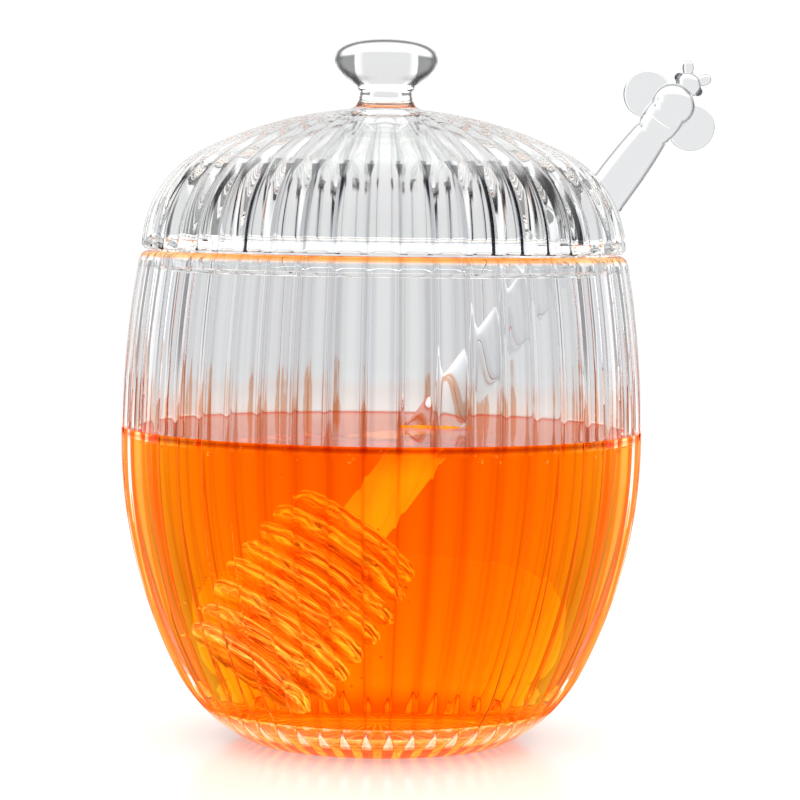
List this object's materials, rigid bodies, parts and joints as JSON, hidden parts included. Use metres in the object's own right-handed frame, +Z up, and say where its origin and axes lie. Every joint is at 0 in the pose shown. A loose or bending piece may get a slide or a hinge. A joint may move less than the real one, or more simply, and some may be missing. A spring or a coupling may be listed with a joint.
{
  "type": "honey pot with dipper",
  "caption": "Round ribbed glass honey pot with a domed knobbed lid, part filled with honey, a glass dipper leaning out through a slot in the lid.",
  "frame": {"origin": "centre of the pot's flat foot, at the surface it stands on", "axes": "+Z up through the knob; -Y is the front, the side the bee faces; the dipper's stem leans to +X and a little to +Y"},
  "size_m": [0.1155, 0.0998, 0.1349],
  "materials": {
    "glass": "clear pressed borosilicate, vertical ribs, fire-polished",
    "dipper_glass": "clear lampworked borosilicate, smooth",
    "honey": "clear runny amber honey, wet gloss"
  },
  "bodies": {
    "root": {"pot": "glass", "lid": "glass", "dipper": "dipper_glass", "honey": "honey"}
  },
  "joints": []
}
